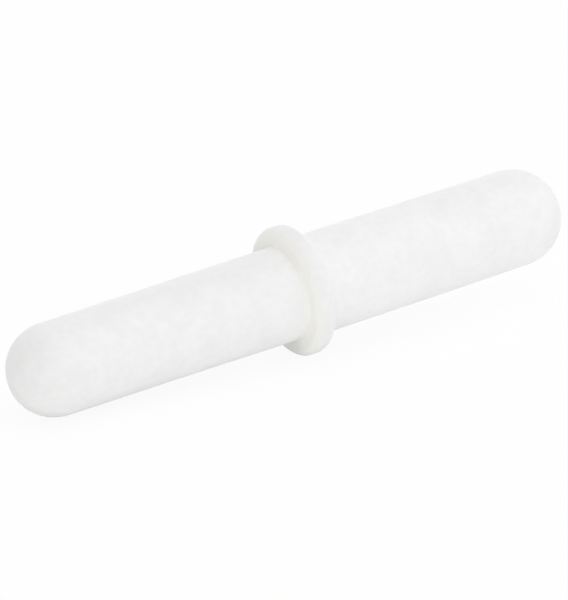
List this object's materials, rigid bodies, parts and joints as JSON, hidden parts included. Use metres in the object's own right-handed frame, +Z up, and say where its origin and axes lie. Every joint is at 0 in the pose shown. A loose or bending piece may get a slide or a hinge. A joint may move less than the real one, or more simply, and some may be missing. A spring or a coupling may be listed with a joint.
{
  "type": "magnetic stir bar",
  "caption": "Magnetic stir bar: a magnet rod sealed in a white fluoropolymer jacket with rounded ends and a pivot ring, for stirring liquid in a vessel.",
  "frame": {"origin": "on the surface the bar lies on, under the middle of its outline", "axes": "+Z up; +X along the bar towards its shorter half, whose end is raised 3.9 degrees; the bar lies on the rim of its pivot ring and on the end of its longer half at -X"},
  "size_m": [0.0508, 0.0106, 0.0108],
  "materials": {
    "jacket": "white fluoropolymer, satin and slightly waxy, with faint turning marks",
    "magnet": "cast aluminium-nickel-cobalt alloy, ground round"
  },
  "bodies": {
    "root": {"jacket": "jacket", "magnet_rod": "magnet"}
  },
  "joints": []
}
